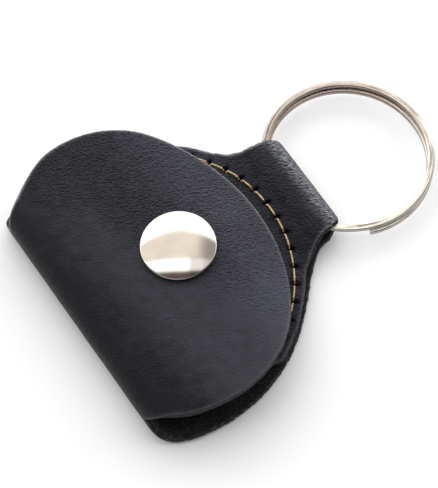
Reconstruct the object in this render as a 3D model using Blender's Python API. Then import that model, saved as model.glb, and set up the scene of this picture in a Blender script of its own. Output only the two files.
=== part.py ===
"""A leather guitar-pick holder: one strip of leather folded into a flap, a back and a stitched
pocket, with a snap fastener in the flap and a split key ring in the loop at the other end.

It lies on its back: +Z up, +X from the flap's fold towards the key ring, Y across the holder.
The origin is on the table under the middle of the whole length.
"""

import math

import bmesh
import bpy
from mathutils import Vector

MM = 0.001

# leather
LEATHER = 1.5 * MM  # panels and flap
LOOP_LEATHER = 1.3 * MM  # pared thinner where it goes round the key ring
SEAM = 0.2 * MM  # between neighbouring pieces that touch
POCKET_ROOM = 0.5 * MM  # between the back and the pocket panel
FLAP_TOP = 7.3 * MM  # height of the closed flap's outer face

# flap fold, at the -X end
FOLD_X = -34.9 * MM  # outermost line of the fold
FOLD_R = FLAP_TOP / 2
FOLD_MID_R = FOLD_R - LEATHER / 2
FOLD_CX = FOLD_X + FOLD_R
FOLD_HINGES = [math.radians(a) for a in (150, 90, 30)]  # round the fold from the flap's end
FOLD_STEP = math.radians(8)
WAIST_EASE = 4.0 * MM  # how softly the two lobes of the strip run into each other

# flap outline: a wide front arc between two side arcs
FLAP_TIP_X = 0.05 * MM
FLAP_FRONT_R = 32.4 * MM
FLAP_SIDE_R = 17.8 * MM
FLAP_JOIN = math.radians(37)  # where the front arc gives way to a side arc

# back outline: a round body, concave shoulders and a tab
BODY_CX = -22.3 * MM
BODY_R = 27.0 * MM
BODY_CORNER_R = 9.0 * MM  # where the body turns in to the fold
BODY_CORNER_JOIN = math.radians(106)  # where the body's arc gives way to it
SHOULDER_R = 10.2 * MM
SHOULDER_FULL = 1.5 * MM  # the hand-cut shoulders are this much wider than their arcs
SHOULDER_FULL_X = 1.5 * MM
SHOULDER_FULL_REACH = 3.4 * MM
NECK_HALF = 9.9 * MM
TAB_HALF = 8.9 * MM  # at the key loop's fold
POCKET_INSET = 0.4 * MM  # the pocket panel is this much smaller all round
MOUTH_X = -22.5 * MM  # middle of the pocket's mouth
MOUTH_R = 36.0 * MM
MOUTH_CORNER = 1.2 * MM  # length of each arc that the corner's cut takes off

# key loop, at the neck
LOOP_START_X = 3.3 * MM
LOOP_END_X = 11.5 * MM
LOOP_HEIGHT = 5.8 * MM
LOOP_AXIS_X = 7.2 * MM  # the line that the ring swings about
LOOP_RISE_X = 2.7 * MM  # where the upper layer starts to climb over the ring
LOOP_RISE_LENGTH = 3.5 * MM

# seam
STITCH_CX = -21.4 * MM
STITCH_R = 24.3 * MM
STITCH_SPAN = math.radians(67)  # each side of the middle
STITCHES = 18
NEEDLE_HOLE_R = 0.42 * MM
THREAD_R = 0.2 * MM
THREAD_DIP = 0.35 * MM
DIP_SHARE = 0.13  # of a stitch, each side of a needle hole
THREAD_SIDES = 6
SEAM_GROOVE_R = 0.6 * MM  # the seam is sunk into the back's outer face

# snap fastener
SNAP_X = -14.6 * MM
CAP_R = 6.25 * MM
CAP_HEIGHT = 1.9 * MM
CAP_RIM = 0.45 * MM
CAP_GAP = 0.05 * MM  # between the metal pieces of the snap
CAP_HOLLOW_R = 4.4 * MM
CAP_HOLLOW = 0.35 * MM
CAP_POST_R = 1.6 * MM
CAP_POST_FLANGE_R = 4.0 * MM
FLAP_HOLE_R = 1.8 * MM
SOCKET_R = 4.3 * MM
SOCKET_MOUTH_R = 2.25 * MM
SPRING_GROOVE_R = 2.9 * MM
SPRING_R = 2.1 * MM
SPRING_WIRE_R = 0.17 * MM
SPRING_OPENING = math.radians(30)
STUD_FLANGE_R = 4.2 * MM
STUD_NECK_R = 1.6 * MM
STUD_HEAD_R = 2.0 * MM
STUD_BORE_R = 0.9 * MM
STUD_POST_R = 0.8 * MM
STUD_POST_HEAD_R = 3.6 * MM
STUD_POST_RIM_R = 1.2 * MM
STUD_HOLE_R = 1.0 * MM
SHEET = 0.2 * MM  # thickness of the snap's thin metal
SEAT_GAP = 0.1 * MM  # between the snap's metal and the leather
SNAP_LIP = 0.5 * MM  # from the pocket panel up to the socket's lip
GROOVE_LIP = 0.15 * MM  # below the spring's groove
GROOVE_HEIGHT = 0.4 * MM
STUD_FOOT = 0.25 * MM
STUD_RISE = 0.08 * MM  # from the spring's groove up to the stud's head
STUD_HEAD = 0.4 * MM
STUD_BEVEL = 0.12 * MM
SPRING_TURNS = 28

# split ring
RING_CX = 19.9 * MM
RING_CY = -0.4 * MM
RING_R = 15.0 * MM  # outer radius
RING_Z = 2.85 * MM  # between its two coils
WIRE_WIDTH = 1.2 * MM
WIRE_THICK = 0.92 * MM
COIL_GAP = 0.06 * MM
WIRE_CORNER = 0.28 * MM
LOWER_END = math.radians(247)  # the lower coil's blunt end, beside the tab
STEP_START = math.radians(160 + 360)  # the wire starts to cross to the upper coil
STEP_END = math.radians(247 + 360)
UPPER_END = math.radians(160 + 720)  # the upper coil's end, inside the key loop
RING_STEP = math.radians(6)

ARC_POINTS = 24
TURN_STEPS = 32

# heights of the layers
BACK_TOP = LEATHER
POCKET_LOW = BACK_TOP + POCKET_ROOM
POCKET_TOP = POCKET_LOW + LEATHER
FLAP_LOW = FLAP_TOP - LEATHER

LEATHER_BLACK = ((0.017, 0.018, 0.022), 0.5, 0.0)
NICKEL = ((0.75, 0.70, 0.64), 0.2, 1.0)
STEEL = ((0.6, 0.58, 0.55), 0.3, 1.0)
THREAD_GOLD = ((0.62, 0.43, 0.18), 0.7, 0.0)


def clear_scene():
    for obj in list(bpy.data.objects):
        bpy.data.objects.remove(obj)


def material(name, look):
    colour, roughness, metallic = look
    mat = bpy.data.materials.new(name)
    mat.use_nodes = True
    shader = mat.node_tree.nodes["Principled BSDF"]
    shader.inputs["Base Color"].default_value = (*colour, 1)
    shader.inputs["Roughness"].default_value = roughness
    shader.inputs["Metallic"].default_value = metallic
    return mat


def add_object(name, bm, look, parent=None, smooth=False):
    """Makes an object of a bmesh, with outward faces and a material of its own."""
    bmesh.ops.recalc_face_normals(bm, faces=bm.faces)
    mesh = bpy.data.meshes.new(name)
    bm.to_mesh(mesh)
    bm.free()
    if smooth:
        mesh.shade_smooth()
        mesh.set_sharp_from_angle(angle=math.radians(40))
    mesh.materials.append(material(name, look))
    obj = bpy.data.objects.new(name, mesh)
    bpy.context.scene.collection.objects.link(obj)
    if parent is not None:
        obj.parent = parent
        obj.matrix_parent_inverse = parent.matrix_world.inverted()
    return obj


def joint_empty(name, place, parent=None):
    empty = bpy.data.objects.new(name, None)
    empty.location = place
    bpy.context.scene.collection.objects.link(empty)
    if parent is not None:
        empty.parent = parent
        empty.matrix_parent_inverse = parent.matrix_world.inverted()
    bpy.context.view_layer.update()
    return empty


def cut(obj, cutter):
    """Cuts the cutter out of obj and hides the cutter."""
    cutter.hide_render = True
    cutter.display_type = "WIRE"
    boolean = obj.modifiers.new("cut_" + cutter.name, "BOOLEAN")
    boolean.operation = "DIFFERENCE"
    boolean.solver = "EXACT"
    boolean.object = cutter


def cylinders(name, centres, radius, low, high, sides=12):
    """One cutter made of upright cylinders that stand clear of each other."""
    bm = bmesh.new()
    angles = [2 * math.pi * i / sides for i in range(sides)]
    for x, y in centres:
        circle = [(x + radius * math.cos(a), y + radius * math.sin(a)) for a in angles]
        rings = [[bm.verts.new((*point, z)) for point in circle] for z in (low, high)]
        bm.faces.new(rings[0])
        bm.faces.new(rings[1])
        for i in range(sides):
            j = (i + 1) % sides
            bm.faces.new((rings[0][i], rings[0][j], rings[1][j], rings[1][i]))
    return add_object(name, bm, STEEL)


# outlines -----------------------------------------------------------------------------------


def arc(cx, cy, radius, start, end, points=ARC_POINTS):
    steps = [start + (end - start) * i / (points - 1) for i in range(points)]
    return [(cx + radius * math.cos(a), cy + radius * math.sin(a)) for a in steps]


def flap_side_centre():
    reach = FLAP_FRONT_R - FLAP_SIDE_R
    front_cx = FLAP_TIP_X - FLAP_FRONT_R
    return front_cx + reach * math.cos(FLAP_JOIN), reach * math.sin(FLAP_JOIN)


def flap_half_width(x):
    """Half the flap's width, on its side arc. x runs on past the fold as if the strip lay flat."""
    cx, cy = flap_side_centre()
    return cy + math.sqrt(max(FLAP_SIDE_R**2 - (x - cx) ** 2, 0))


def body_corner_centre():
    reach = BODY_R - BODY_CORNER_R
    return BODY_CX + reach * math.cos(BODY_CORNER_JOIN), reach * math.sin(BODY_CORNER_JOIN)


def body_half_width(x):
    """Half the body's width on its corner arc, which the fold's end of the body has."""
    cx, cy = body_corner_centre()
    return cy + math.sqrt(max(BODY_CORNER_R**2 - (x - cx) ** 2, 0))


def fold_half_width(along):
    """Half the strip's width in the fold, at a distance along it from the flap's end."""
    length = math.pi * FOLD_MID_R
    flap = flap_half_width(FOLD_CX - along)
    body = body_half_width(FOLD_CX - (length - along))
    ease = WAIST_EASE * math.sin(math.pi * along / length)
    return (flap + body + math.hypot(flap - body, ease)) / 2


def mirrored(half):
    """A closed outline from the half at +Y, listed from -X to +X."""
    return half + [(x, -y) for x, y in reversed(half) if abs(y) > 1e-9]


def flap_outline():
    cx, cy = flap_side_centre()
    start_x = FOLD_CX + SEAM / 2
    start = math.atan2(flap_half_width(start_x) - cy, start_x - cx)
    side = arc(cx, cy, FLAP_SIDE_R, start, FLAP_JOIN)
    front = arc(FLAP_TIP_X - FLAP_FRONT_R, 0, FLAP_FRONT_R, FLAP_JOIN, 0)
    return mirrored(side + front[1:])


def shoulder_centre():
    y = NECK_HALF + SHOULDER_R
    return BODY_CX + math.sqrt((BODY_R + SHOULDER_R) ** 2 - y**2), y


def fuller(x):
    """How much the shoulder is wider than its arcs."""
    return SHOULDER_FULL * math.exp(-(((x - SHOULDER_FULL_X) / SHOULDER_FULL_REACH) ** 2))


def body_and_shoulder(inset, start, end_x):
    """The +Y half of the outline from an angle on the body's arc, down the shoulder to end_x."""
    sx, sy = shoulder_centre()
    meet = math.atan2(sy, sx - BODY_CX)
    body = arc(BODY_CX, 0, BODY_R - inset, start, meet)
    bend = SHOULDER_R + inset
    end = -math.acos((end_x - sx) / bend)
    shoulder = arc(sx, sy, bend, meet - math.pi, end, ARC_POINTS // 3)
    return [(x, y + fuller(x)) for x, y in body + shoulder[1:]]


def back_outline():
    cx, cy = body_corner_centre()
    start = math.acos((FOLD_CX + SEAM / 2 - cx) / BODY_CORNER_R)
    corner = arc(cx, cy, BODY_CORNER_R, start, BODY_CORNER_JOIN, ARC_POINTS // 4)
    return mirrored(corner + body_and_shoulder(0, BODY_CORNER_JOIN, LOOP_START_X - SEAM / 2)[1:])


def pocket_outline():
    """The pocket panel: the back's outline, less a little, closed by the mouth's arc."""
    radius = BODY_R - POCKET_INSET
    mouth_cx = MOUTH_X + MOUTH_R
    apart = mouth_cx - BODY_CX
    corner_x = BODY_CX + (apart**2 + radius**2 - MOUTH_R**2) / (2 * apart)
    corner_y = math.sqrt(radius**2 - (corner_x - BODY_CX) ** 2)
    turn = math.atan2(corner_y, mouth_cx - corner_x) - MOUTH_CORNER / MOUTH_R
    mouth = arc(mouth_cx, 0, MOUTH_R, math.pi, math.pi - turn)
    start = math.atan2(corner_y, corner_x - BODY_CX) - MOUTH_CORNER / radius
    rest = body_and_shoulder(POCKET_INSET, start, LOOP_START_X - SEAM / 2)
    return mirrored(mouth + rest)


def tab_half_width(x):
    sx, sy = shoulder_centre()
    if x < sx:
        return sy - math.sqrt(SHOULDER_R**2 - (x - sx) ** 2) + fuller(x)
    share = (x - sx) / (LOOP_END_X - sx)
    return NECK_HALF + (TAB_HALF - NECK_HALF) * share + fuller(x)


# solids -------------------------------------------------------------------------------------


def plate(name, outline, low, high, look, parent=None):
    """A flat panel between two heights."""
    bm = bmesh.new()
    bottom = bm.faces.new([bm.verts.new((x, y, low)) for x, y in outline])
    grown = bmesh.ops.extrude_face_region(bm, geom=[bottom])
    verts = [v for v in grown["geom"] if isinstance(v, bmesh.types.BMVert)]
    bmesh.ops.translate(bm, verts=verts, vec=(0, 0, high - low))
    return add_object(name, bm, look, parent)


def strip(name, stations, look, parent=None):
    """A band of leather along a path in the XZ plane. Each station is (outer, inner, half width),
    with outer and inner as (x, z)."""
    bm = bmesh.new()
    rows = []
    for outer, inner, half in stations:
        corners = [(outer, -half), (outer, half), (inner, half), (inner, -half)]
        rows.append([bm.verts.new((p[0], y, p[1])) for p, y in corners])
    for a, b in zip(rows, rows[1:]):
        for i in range(4):
            j = (i + 1) % 4
            bm.faces.new((a[i], a[j], b[j], b[i]))
    bm.faces.new(rows[0])
    bm.faces.new(rows[-1])
    return add_object(name, bm, look, parent, smooth=True)


def turned(name, profile, look, parent=None):
    """A solid turned about the snap's axis from a profile of (radius, height) points. A profile
    with both ends on the axis is closed by it, and any other is a closed loop."""
    bm = bmesh.new()
    on_axis = profile[0][0] == 0
    rows = []
    for r, z in profile:
        if r == 0:
            rows.append([bm.verts.new((SNAP_X, 0, z))])
            continue
        angles = [2 * math.pi * i / TURN_STEPS for i in range(TURN_STEPS)]
        rows.append([bm.verts.new((SNAP_X + r * math.cos(a), r * math.sin(a), z)) for a in angles])
    pairs = list(zip(rows, rows[1:]))
    if not on_axis:
        pairs.append((rows[-1], rows[0]))
    for a, b in pairs:
        for i in range(TURN_STEPS):
            j = (i + 1) % TURN_STEPS
            face = [a[i % len(a)], a[j % len(a)], b[j % len(b)], b[i % len(b)]]
            bm.faces.new(list(dict.fromkeys(face)))
    return add_object(name, bm, look, parent, smooth=True)


def tube(name, points, radius, look, sides, parent=None, place=(0, 0, 0)):
    """A round wire or thread along points, with closed ends. Each ring stands square to the path."""
    bm = bmesh.new()
    path = [Vector(p) + Vector(place) for p in points]
    rings = []
    for i, p in enumerate(path):
        ahead = path[min(i + 1, len(path) - 1)]
        behind = path[max(i - 1, 0)]
        along = (ahead - behind).normalized()
        flat = Vector((0, 0, 1)).cross(along).normalized()
        up = along.cross(flat)
        angles = [2 * math.pi * k / sides for k in range(sides)]
        rings.append([bm.verts.new(p + radius * (math.cos(a) * flat + math.sin(a) * up)) for a in angles])
    for a, b in zip(rings, rings[1:]):
        for i in range(sides):
            j = (i + 1) % sides
            bm.faces.new((a[i], a[j], b[j], b[i]))
    bm.faces.new(rings[0])
    bm.faces.new(rings[-1])
    return add_object(name, bm, look, parent, smooth=True)


# leather ------------------------------------------------------------------------------------


def stitch_angles():
    return [-STITCH_SPAN + 2 * STITCH_SPAN * i / STITCHES for i in range(STITCHES + 1)]


def seam_point(angle):
    return STITCH_CX + STITCH_R * math.cos(angle), STITCH_R * math.sin(angle)


def on_fold(radius, turn):
    """The place at an angle round the fold, from 0 at the flap to a half turn at the back."""
    return FOLD_CX - radius * math.sin(turn), FOLD_R + radius * math.cos(turn)


def fold_piece(name, start, end, parent=None):
    """The leather between two angles of the fold, cut square to it at both ends."""
    gap = SEAM / 2 / FOLD_MID_R
    steps = math.ceil((end - start) / FOLD_STEP)
    stations = []
    for i in range(steps + 1):
        turn = start + gap + (end - start - 2 * gap) * i / steps
        outer = on_fold(FOLD_R, turn)
        inner = on_fold(FOLD_R - LEATHER, turn)
        stations.append((outer, inner, fold_half_width(turn * FOLD_MID_R)))
    return strip(name, stations, LEATHER_BLACK, parent)


def fold_hinges():
    """The three lines that the fold bends about as the flap opens, from the back to the flap. Each
    carries the next, and each is in the middle of a third of the fold."""
    hinges = []
    for name, turn in zip(("flap_hinge", "fold_mid_bend", "fold_top_bend"), FOLD_HINGES):
        x, z = on_fold(FOLD_MID_R, turn)
        hinges.append(joint_empty(name, (x, 0, z), hinges[-1] if hinges else None))
    return hinges


def leather_fold(hinges):
    """The half turn between the flap and the back, in pieces that meet at its hinges."""
    low, mid, high = FOLD_HINGES
    fold_piece("fold_at_back", low, math.pi)
    fold_piece("fold_low", mid, low, hinges[0])
    fold_piece("fold_high", high, mid, hinges[1])
    fold_piece("fold_at_flap", 0, high, hinges[2])


def key_loop():
    """The neck's two layers and the turn that holds the ring, as one band."""
    half = LOOP_LEATHER / 2
    bend_r = LOOP_HEIGHT / 2
    bend_cx = LOOP_END_X - bend_r
    rise = LOOP_HEIGHT - half - (POCKET_LOW + half)
    slope = 2 * math.atan2(rise, LOOP_RISE_LENGTH)
    climb_r = LOOP_RISE_LENGTH / 2 / math.sin(slope)
    middle = []  # (x, z, direction) along the middle of the leather, direction from +X up
    first = math.asin((LOOP_START_X + SEAM / 2 - LOOP_RISE_X) / climb_r)
    for i in range(7):
        a = first + (slope - first) * i / 6
        square = 0 if i == 0 else a  # the joint with the pocket panel is cut upright
        x = LOOP_RISE_X + climb_r * math.sin(a)
        middle.append((x, POCKET_LOW + half + climb_r * (1 - math.cos(a)), square))
    top = LOOP_HEIGHT - half
    for i in range(1, 7):
        a = slope * (1 - i / 6)
        x = LOOP_RISE_X + LOOP_RISE_LENGTH - climb_r * math.sin(a)
        middle.append((x, top - climb_r * (1 - math.cos(a)), a))
    for i in range(13):
        a = math.pi * i / 12
        x = bend_cx + (bend_r - half) * math.sin(a)
        middle.append((x, bend_r + (bend_r - half) * math.cos(a), -a))
    middle.append((LOOP_START_X + SEAM / 2, half, -math.pi))
    stations = []
    for x, z, a in middle:
        nx, nz = -math.sin(a) * half, math.cos(a) * half
        stations.append(((x + nx, z + nz), (x - nx, z - nz), tab_half_width(x)))
    return strip("key_loop", stations, LEATHER_BLACK)


def panels(flap_joint):
    back = plate("back_panel", back_outline(), 0, BACK_TOP, LEATHER_BLACK)
    pocket = plate("pocket_panel", pocket_outline(), POCKET_LOW, POCKET_TOP, LEATHER_BLACK)
    flap = plate("flap_panel", flap_outline(), FLAP_LOW, FLAP_TOP, LEATHER_BLACK, flap_joint)
    holes = [seam_point(a) for a in stitch_angles()]
    needle = cylinders("needle_holes", holes, NEEDLE_HOLE_R, -LEATHER, POCKET_TOP + LEATHER, 8)
    cut(back, needle)
    cut(pocket, needle)
    ease = math.radians(1.5)
    turns = 2 * STITCHES
    span = STITCH_SPAN + ease
    arc_points = [seam_point(-span + 2 * span * i / turns) for i in range(turns + 1)]
    groove = tube("seam_groove", [(x, y, 0) for x, y in arc_points], SEAM_GROOVE_R, STEEL, 8)
    cut(back, groove)
    cut(flap, cylinders("cap_post_hole", [(SNAP_X, 0)], FLAP_HOLE_R, 0, 2 * FLAP_TOP, TURN_STEPS))
    cut(pocket, cylinders("stud_post_hole", [(SNAP_X, 0)], STUD_HOLE_R, 0, 2 * FLAP_TOP, TURN_STEPS))


def thread(name, run_z, dip):
    """One thread of the seam: it runs on the leather and dips into each needle hole."""
    points = []
    angles = stitch_angles()
    shares = (0, DIP_SHARE / 2, DIP_SHARE, 0.5, 1 - DIP_SHARE, 1 - DIP_SHARE / 2)
    for a, b in zip(angles, angles[1:]):
        for share in shares:
            down = max(0, 1 - min(share, 1 - share) / DIP_SHARE)
            points.append((*seam_point(a + (b - a) * share), run_z + dip * down**2 * (3 - 2 * down)))
    points.append((*seam_point(angles[-1]), run_z + dip))
    return tube(name, points, THREAD_R, THREAD_GOLD, THREAD_SIDES)


# snap ---------------------------------------------------------------------------------------


def snap_cap(flap_joint):
    """A domed cap with a rolled rim, hollow underneath for the post's flange."""
    low = FLAP_TOP + CAP_GAP
    top = low + CAP_HEIGHT
    profile = [(0, low + CAP_HOLLOW), (CAP_HOLLOW_R, low + CAP_HOLLOW), (CAP_HOLLOW_R, low)]
    profile += [(CAP_R - CAP_RIM, low)]
    for i in range(1, 5):
        a = -math.pi / 2 + math.pi * i / 4
        profile.append((CAP_R - CAP_RIM + CAP_RIM * math.cos(a), low + CAP_RIM + CAP_RIM * math.sin(a)))
    dome_r = CAP_R - CAP_RIM
    dome_low = low + 2 * CAP_RIM
    for i in range(1, 6):
        share = i / 6
        height = (top - dome_low) * (1 - (1 - share) ** 2)
        profile.append((dome_r * (1 - share), dome_low + height))
    profile.append((0, top))
    return turned("snap_cap", profile, NICKEL, flap_joint)


def cap_post(flap_joint):
    """A hollow post's flange inside the cap, its shank through the flap and its clinched end."""
    flange_low = FLAP_TOP + CAP_GAP
    flange_top = FLAP_TOP + CAP_HOLLOW - SEAT_GAP
    clinch_r = SOCKET_MOUTH_R - GROOVE_LIP
    clinch_top = FLAP_LOW - SEAT_GAP - SHEET - CAP_GAP
    clinch_low = clinch_top - GROOVE_LIP
    profile = [(0, clinch_low), (clinch_r, clinch_low), (clinch_r, clinch_top)]
    profile += [(CAP_POST_R, clinch_top), (CAP_POST_R, flange_low)]
    profile += [(CAP_POST_FLANGE_R, flange_low), (CAP_POST_FLANGE_R, flange_top), (0, flange_top)]
    turned("cap_post", profile, STEEL, flap_joint)


def snap_socket(flap_joint):
    """A cup under the flap, open below, with a groove inside for its wire spring."""
    top = FLAP_LOW - SEAT_GAP
    low = top - SHEET
    lip = POCKET_TOP + SNAP_LIP
    groove_low = lip + GROOVE_LIP
    groove_top = groove_low + GROOVE_HEIGHT
    hole = CAP_POST_R + STUD_BEVEL
    profile = [(SOCKET_R, lip), (SOCKET_R, top), (hole, top), (hole, low), (SOCKET_MOUTH_R, low)]
    profile += [(SOCKET_MOUTH_R, groove_top), (SPRING_GROOVE_R, groove_top)]
    profile += [(SPRING_GROOVE_R, groove_low), (SOCKET_MOUTH_R, groove_low), (SOCKET_MOUTH_R, lip)]
    turned("snap_socket", profile, NICKEL, flap_joint)

    sweep = 2 * math.pi - SPRING_OPENING
    angles = [(SPRING_OPENING + 2 * sweep * i / SPRING_TURNS) / 2 for i in range(SPRING_TURNS + 1)]
    spring_z = (groove_low + groove_top) / 2
    wire = [(SPRING_R * math.cos(a), SPRING_R * math.sin(a), spring_z) for a in angles]
    tube("socket_spring", wire, SPRING_WIRE_R, STEEL, 8, flap_joint, (SNAP_X, 0, 0))


def snap_stud():
    """The stud on the pocket panel, and the rivet that holds it, its head inside the pocket."""
    foot = POCKET_TOP + SEAT_GAP
    foot_top = foot + STUD_FOOT
    head_low = POCKET_TOP + SNAP_LIP + GROOVE_LIP + GROOVE_HEIGHT + STUD_RISE
    head_top = head_low + STUD_HEAD
    profile = [(STUD_BORE_R, foot), (STUD_FLANGE_R, foot), (STUD_FLANGE_R, foot_top)]
    profile += [(STUD_NECK_R, foot_top), (STUD_NECK_R, head_low - STUD_BEVEL)]
    profile += [(STUD_HEAD_R, head_low), (STUD_HEAD_R, head_top - STUD_BEVEL)]
    profile += [(STUD_HEAD_R - STUD_BEVEL, head_top), (STUD_BORE_R, head_top)]
    turned("snap_stud", profile, NICKEL)

    head = BACK_TOP + SEAT_GAP
    neck = POCKET_LOW - SEAT_GAP
    rim = head_top + CAP_GAP
    rivet = [(0, head), (STUD_POST_HEAD_R, head), (STUD_POST_HEAD_R, neck), (STUD_POST_R, neck)]
    rivet += [(STUD_POST_R, rim), (STUD_POST_RIM_R, rim), (STUD_POST_RIM_R, rim + STUD_BEVEL)]
    rivet += [(0, rim + STUD_BEVEL)]
    turned("stud_post", rivet, STEEL)


# ring ---------------------------------------------------------------------------------------


def split_ring(ring_hinge):
    """A flat wire wound nearly twice round, stepping from the lower to the upper coil once."""
    bm = bmesh.new()
    half_w, half_t, c = WIRE_WIDTH / 2, WIRE_THICK / 2, WIRE_CORNER
    section = [(half_w - c, -half_t), (half_w, -half_t + c), (half_w, half_t - c), (half_w - c, half_t)]
    section += [(-r, -z) for r, z in section]
    steps = round((UPPER_END - LOWER_END) / RING_STEP)
    level = (WIRE_THICK + COIL_GAP) / 2
    rings = []
    for i in range(steps + 1):
        a = LOWER_END + (UPPER_END - LOWER_END) * i / steps
        share = min(max((a - STEP_START) / (STEP_END - STEP_START), 0), 1)
        z0 = RING_Z + level * (2 * share**2 * (3 - 2 * share) - 1)
        row = []
        for r, z in section:
            radius = RING_R - half_w + r
            row.append(bm.verts.new((RING_CX + radius * math.cos(a), RING_CY + radius * math.sin(a), z0 + z)))
        rings.append(row)
    count = len(section)
    for a, b in zip(rings, rings[1:]):
        for i in range(count):
            j = (i + 1) % count
            bm.faces.new((a[i], a[j], b[j], b[i]))
    bm.faces.new(rings[0])
    bm.faces.new(rings[-1])
    return add_object("split_ring", bm, NICKEL, ring_hinge, smooth=True)


def main():
    clear_scene()
    hinges = fold_hinges()
    flap_joint = hinges[-1]
    ring_hinge = joint_empty("ring_swing", (LOOP_AXIS_X, 0, RING_Z))
    leather_fold(hinges)
    key_loop()
    panels(flap_joint)
    thread("pocket_thread", POCKET_TOP + THREAD_R + CAP_GAP, -THREAD_DIP)
    thread("back_thread", THREAD_R + CAP_GAP, THREAD_DIP)
    snap_cap(flap_joint)
    cap_post(flap_joint)
    snap_socket(flap_joint)
    snap_stud()
    split_ring(ring_hinge)


main()
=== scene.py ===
import math

import bmesh
import bpy
from mathutils import Matrix, Vector, noise

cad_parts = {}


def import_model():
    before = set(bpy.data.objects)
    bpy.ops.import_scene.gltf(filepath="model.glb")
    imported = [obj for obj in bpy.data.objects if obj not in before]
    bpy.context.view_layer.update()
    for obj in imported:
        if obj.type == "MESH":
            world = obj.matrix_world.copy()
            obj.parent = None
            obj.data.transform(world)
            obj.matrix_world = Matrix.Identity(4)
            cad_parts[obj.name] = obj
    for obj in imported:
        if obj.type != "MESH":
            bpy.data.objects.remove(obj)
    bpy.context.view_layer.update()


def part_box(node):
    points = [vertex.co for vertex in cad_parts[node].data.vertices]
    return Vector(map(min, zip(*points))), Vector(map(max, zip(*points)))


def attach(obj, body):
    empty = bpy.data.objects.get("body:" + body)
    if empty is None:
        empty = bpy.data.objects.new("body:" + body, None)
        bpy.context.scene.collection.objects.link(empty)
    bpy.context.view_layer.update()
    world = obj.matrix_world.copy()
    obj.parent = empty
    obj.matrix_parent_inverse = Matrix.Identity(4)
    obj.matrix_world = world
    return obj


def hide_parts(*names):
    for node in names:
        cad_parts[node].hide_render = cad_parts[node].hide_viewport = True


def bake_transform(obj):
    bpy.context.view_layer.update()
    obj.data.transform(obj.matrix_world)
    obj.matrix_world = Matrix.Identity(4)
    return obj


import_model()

# A leather guitar-pick holder lying on its back. Lengths are in millimetres until a mesh is made.
# +X runs from the flap's fold to the key ring, Y across the holder, +Z up.
MM = 0.001

# leather ------------------------------------------------------------------------------------
LEATHER = 1.5
LOOP_LEATHER = 1.3
FLAP_TOP = 7.3
FOLD_R = FLAP_TOP / 2
FOLD_CX = -31.25
FOLD_MID = FOLD_R - LEATHER / 2
WAIST_EASE = 4.0
FLAP_TIP_X = 0.05
FLAP_FRONT_R = 32.4
FLAP_SIDE_R = 17.8
FLAP_JOIN = math.radians(37)
BODY_CX = -22.3
BODY_R = 27.0
BODY_CORNER_R = 9.0
BODY_CORNER_JOIN = math.radians(106)
SHOULDER_R = 10.2
SHOULDER_EXTRA = ((1.7, 0.7), (1.6, 2.4))  # extra half width and its x, for +Y and for -Y
SHOULDER_SPREAD = 3.4
NECK_HALF = 9.9
TAB_HALF = 8.9
NECK_X = 3.3  # where the back ends and the loop starts, since they are separate meshes
POCKET_INSET = 0.4
POCKET_TOP = 3.5
MOUTH_X = -22.5
MOUTH_R = 36.0
MOUTH_CORNER = 1.2
LOOP_END_X = 11.5
LOOP_R = 2.9
RISE_END_X = 8.0
RISE_RUN = 5.6
TAB_SKEW = 0.058
TAB_SHIFT = -0.9

# seam
STITCH_CX = -21.4
STITCH_R = 24.3
STITCH_SPAN = math.radians(67)
STITCHES = 18
STITCH_PITCH = 2 * STITCH_SPAN * STITCH_R / STITCHES

# how the leather lies
FLAP_CURL = 0.003  # lift of the flap's sides, for each square millimetre of y
TIP_DROOP = 1.0
CAP_PRESS = 0.14
PINCH = 0.4  # how far the stitches draw the pocket panel's edge down
BACK_GROOVE = 0.56  # how deep the stitches sink into the back
HOLE_DENT = 0.6

# stitches
PLY_R = 0.1
PLY_OFFSET = 0.065
PLY_TURNS = 2.6  # twists in one stitch
STITCH_GAP = 0.07  # share of a stitch that is out of sight at each end
STITCH_SINK = 0.62
STITCH_HEIGHT = 0.13
BACK_STITCH_Z = 0.4

# snap
SNAP_X = -14.6
CAP_R = 6.25
CAP_RIM = 0.36
CAP_HOLLOW_R = 4.4
CAP_HOLLOW = 0.35
SHANK_R = 1.6
SHANK_FLANGE_R = 4.0
SOCKET_R = 4.3
SOCKET_EYE_R = 1.72
SOCKET_MOUTH_R = 2.25
SPRING_GROOVE_R = 2.9
SPRING_R = 2.1
SPRING_WIRE_R = 0.17
STUD_FOOT_R = 4.05
STUD_NECK_R = 1.6
STUD_HEAD_R = 1.78
STUD_BORE_R = 0.9
RIVET_HEAD_R = 3.6
RIVET_SHANK_R = 0.8
SHEET = 0.2

# ring
RING_CX = 19.9
RING_CY = -0.4
RING_R = 15.0
RING_Z = 2.85
COIL_LEVEL = 0.49  # half the height between the middles of the two coils
WIRE_HALF_WIDTH = 0.6
WIRE_HALF_THICK = 0.46
WIRE_CORNER = 0.3
RING_START = 247  # degrees, the lower coil's end
RING_STEP = (520, 607)
RING_END = 880


def smooth(t):
    t = min(max(t, 0.0), 1.0)
    return t * t * (3 - 2 * t)


def bell(t):
    return math.exp(-t * t)


# paths and outlines -------------------------------------------------------------------------


def follow(path, s):
    """(x, z, heading) at a length s along a path of straights and arcs. A move is
    (length, radius), with radius 0 for a straight and above 0 for a left turn."""
    x, z, h = path["start"]
    for length, radius in path["moves"]:
        step = min(s, length)
        if (length, radius) is path["moves"][-1]:
            step = s
        if radius == 0:
            x, z = x + step * math.cos(h), z + step * math.sin(h)
        else:
            turn = step / radius
            x += radius * (math.sin(h + turn) - math.sin(h))
            z -= radius * (math.cos(h + turn) - math.cos(h))
            h += turn
        s -= step
        if s <= 0:
            break
    return x, z, h


def arc(cx, cy, radius, start, end, step=0.45):
    count = max(2, math.ceil(abs(end - start) * radius / step))
    angles = [start + (end - start) * i / count for i in range(count + 1)]
    return [(cx + radius * math.cos(a), cy + radius * math.sin(a)) for a in angles]


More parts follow.
